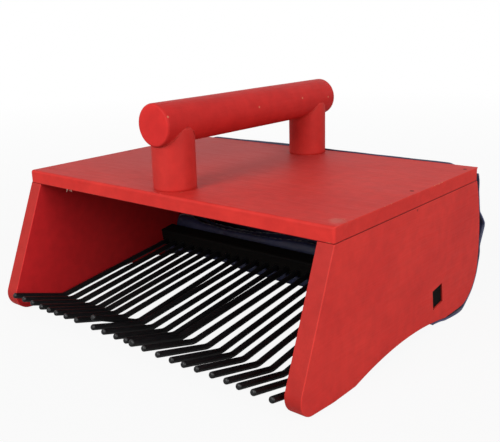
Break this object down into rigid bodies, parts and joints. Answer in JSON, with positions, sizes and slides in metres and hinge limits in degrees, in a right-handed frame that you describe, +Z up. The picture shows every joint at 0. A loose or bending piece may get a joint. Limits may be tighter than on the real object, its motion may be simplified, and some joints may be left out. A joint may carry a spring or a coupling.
{
  "type": "berry picker",
  "caption": "Hand scoop for picking berries: wooden hood with a dowel handle, a comb of bent wire tines and a cloth pouch at the back.",
  "frame": {"origin": "on the ground under the middle of the picker's bounding box", "axes": "+Z up, -Y the way the mouth and the tines point, +X to the right for someone who faces the mouth"},
  "size_m": [0.285, 0.2524, 0.1672],
  "materials": {
    "red_wood": "satin brush-painted",
    "dark_wood": "black stained",
    "black_wire": "satin",
    "navy_cloth": "matte woven",
    "nail_steel": "dulled"
  },
  "bodies": {
    "root": {"top_board": "red_wood", "left_side_board": "red_wood", "right_side_board": "red_wood", "handle_bar": "red_wood", "front_handle_post": "red_wood", "rear_handle_post": "red_wood", "tine_bar": "dark_wood", "top_board_nails": "nail_steel", "handle_screws": "nail_steel", "pouch_cloth": "navy_cloth", "top_edge_tacks": "nail_steel", "left_edge_tacks": "nail_steel", "right_edge_tacks": "nail_steel", "tine_bar_tacks": "nail_steel", "tine_01": "black_wire", "tine_02": "black_wire", "tine_03": "black_wire", "tine_04": "black_wire", "tine_05": "black_wire", "tine_06": "black_wire", "tine_07": "black_wire", "tine_08": "black_wire", "tine_09": "black_wire", "tine_10": "black_wire", "tine_11": "black_wire", "tine_12": "black_wire", "tine_13": "black_wire", "tine_14": "black_wire", "tine_15": "black_wire", "tine_16": "black_wire", "tine_17": "black_wire", "tine_18": "black_wire", "tine_19": "black_wire", "tine_20": "black_wire", "tine_21": "black_wire", "tine_22": "black_wire", "tine_23": "black_wire", "tine_24": "black_wire"}
  },
  "joints": []
}
